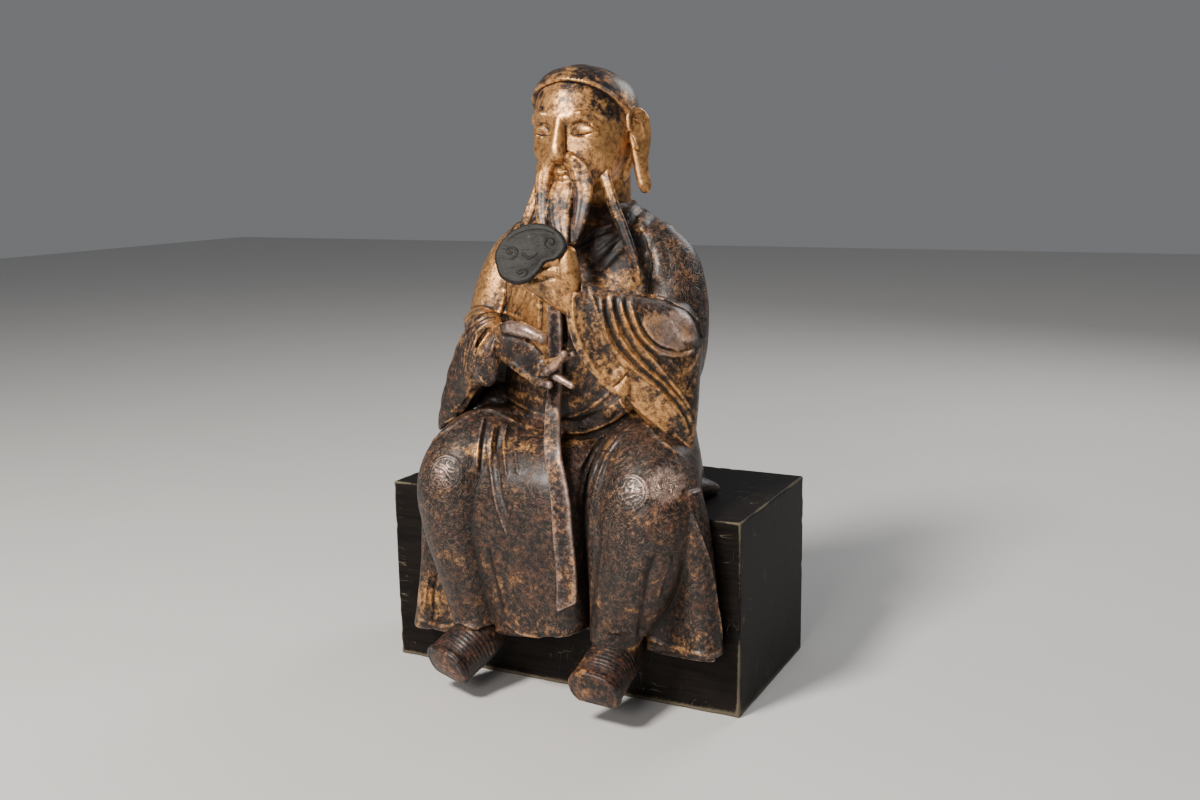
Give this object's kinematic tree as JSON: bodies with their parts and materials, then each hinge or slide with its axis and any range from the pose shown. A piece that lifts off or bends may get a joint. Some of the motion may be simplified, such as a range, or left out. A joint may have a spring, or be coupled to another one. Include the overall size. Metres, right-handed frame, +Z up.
{
  "type": "seated bronze dignitary figure",
  "caption": "A small cast bronze dignitary in a long robe, seated on a plain dark block with the feet hanging clear, a leaf-shaped sceptre head in the raised hand and the other hand open",
  "frame": {"origin": "centre of the seat block's underside", "axes": "+Z up the figure, which faces -Y, so its own left hand is on +X"},
  "size_m": [0.2, 0.1426, 0.3159],
  "materials": {
    "dark_wood": "dark lacquer, scratched, with rubbed edges",
    "lacquered_bronze": "cast bronze under worn brown lacquer and gilding",
    "dark_bronze": "almost black patina"
  },
  "bodies": {
    "root": {"seat_block": "dark_wood", "figure": "lacquered_bronze", "sceptre_head": "dark_bronze"}
  },
  "joints": []
}
